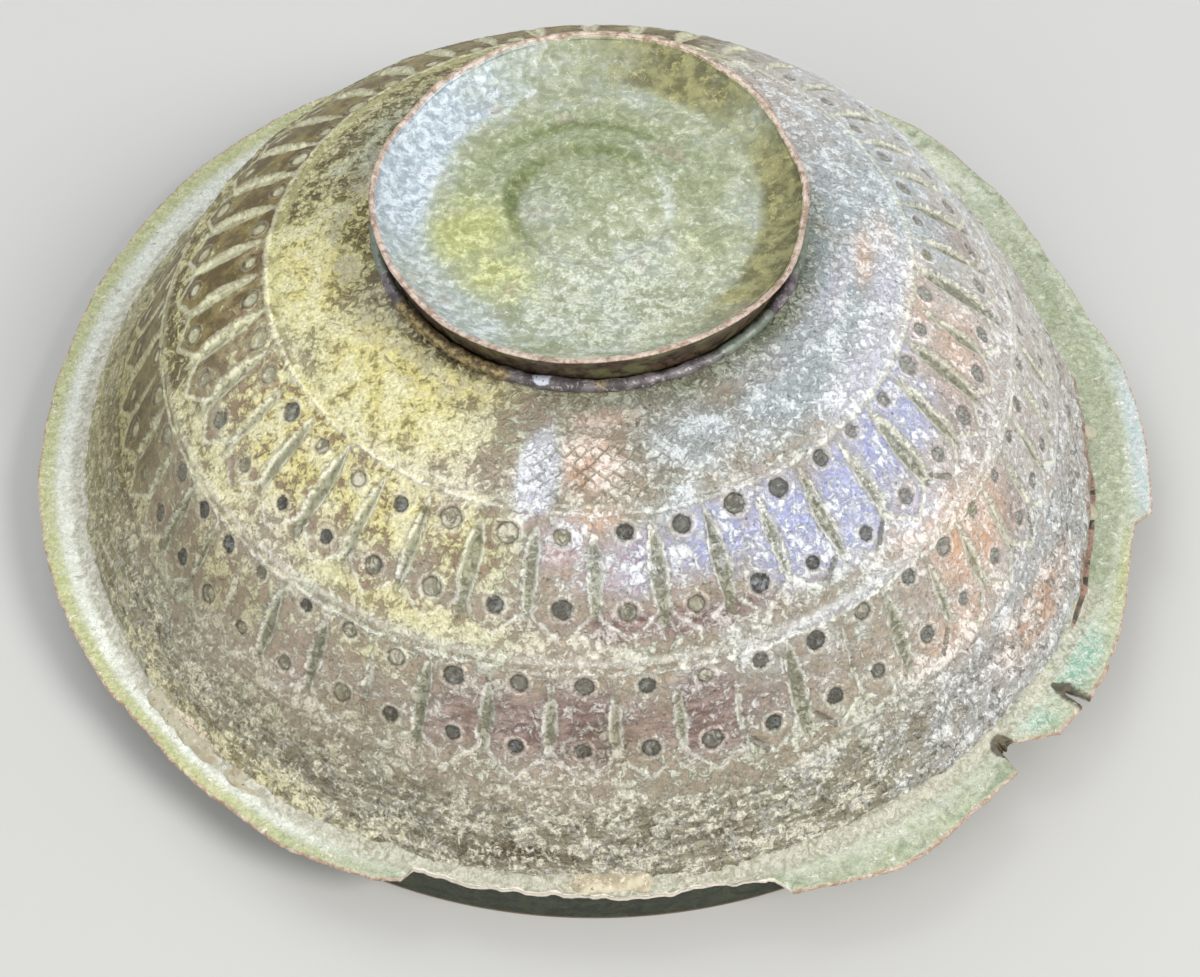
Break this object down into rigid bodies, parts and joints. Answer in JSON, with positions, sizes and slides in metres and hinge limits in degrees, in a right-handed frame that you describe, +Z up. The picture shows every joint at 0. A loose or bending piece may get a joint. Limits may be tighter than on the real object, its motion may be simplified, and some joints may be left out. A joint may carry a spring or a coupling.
{
  "type": "bowl",
  "caption": "Round tinned copper bowl with a flared foot ring, chased bands of narrow panels and a flanged rim on a short collar, lying upside down on its rim; it holds food or water.",
  "frame": {"origin": "middle of the rim, on the surface that the bowl stands on, mouth down", "axes": "+Z up, from the mouth towards the foot; -Y is the side with the torn flange"},
  "size_m": [0.2019, 0.1909, 0.0698],
  "materials": {
    "patinated_copper": "worn tinned copper with green and grey patina",
    "tinned_foot": "dull grey tin with green patina",
    "dark_solder": "dark oxidised solder",
    "verdigris_rim": "copper sheet covered in pale verdigris",
    "tan_solder": "rough tan solder residue"
  },
  "bodies": {
    "root": {"bowl_body": "patinated_copper", "foot_ring": "tinned_foot", "foot_solder": "tinned_foot", "foot_bead": "dark_solder", "rim_ring": "verdigris_rim", "rim_seam_front": "tan_solder", "rim_seam_left": "tan_solder", "rim_seam_back": "tan_solder", "rim_tab_upper": "tan_solder", "rim_tab_lower": "tan_solder"}
  },
  "joints": []
}
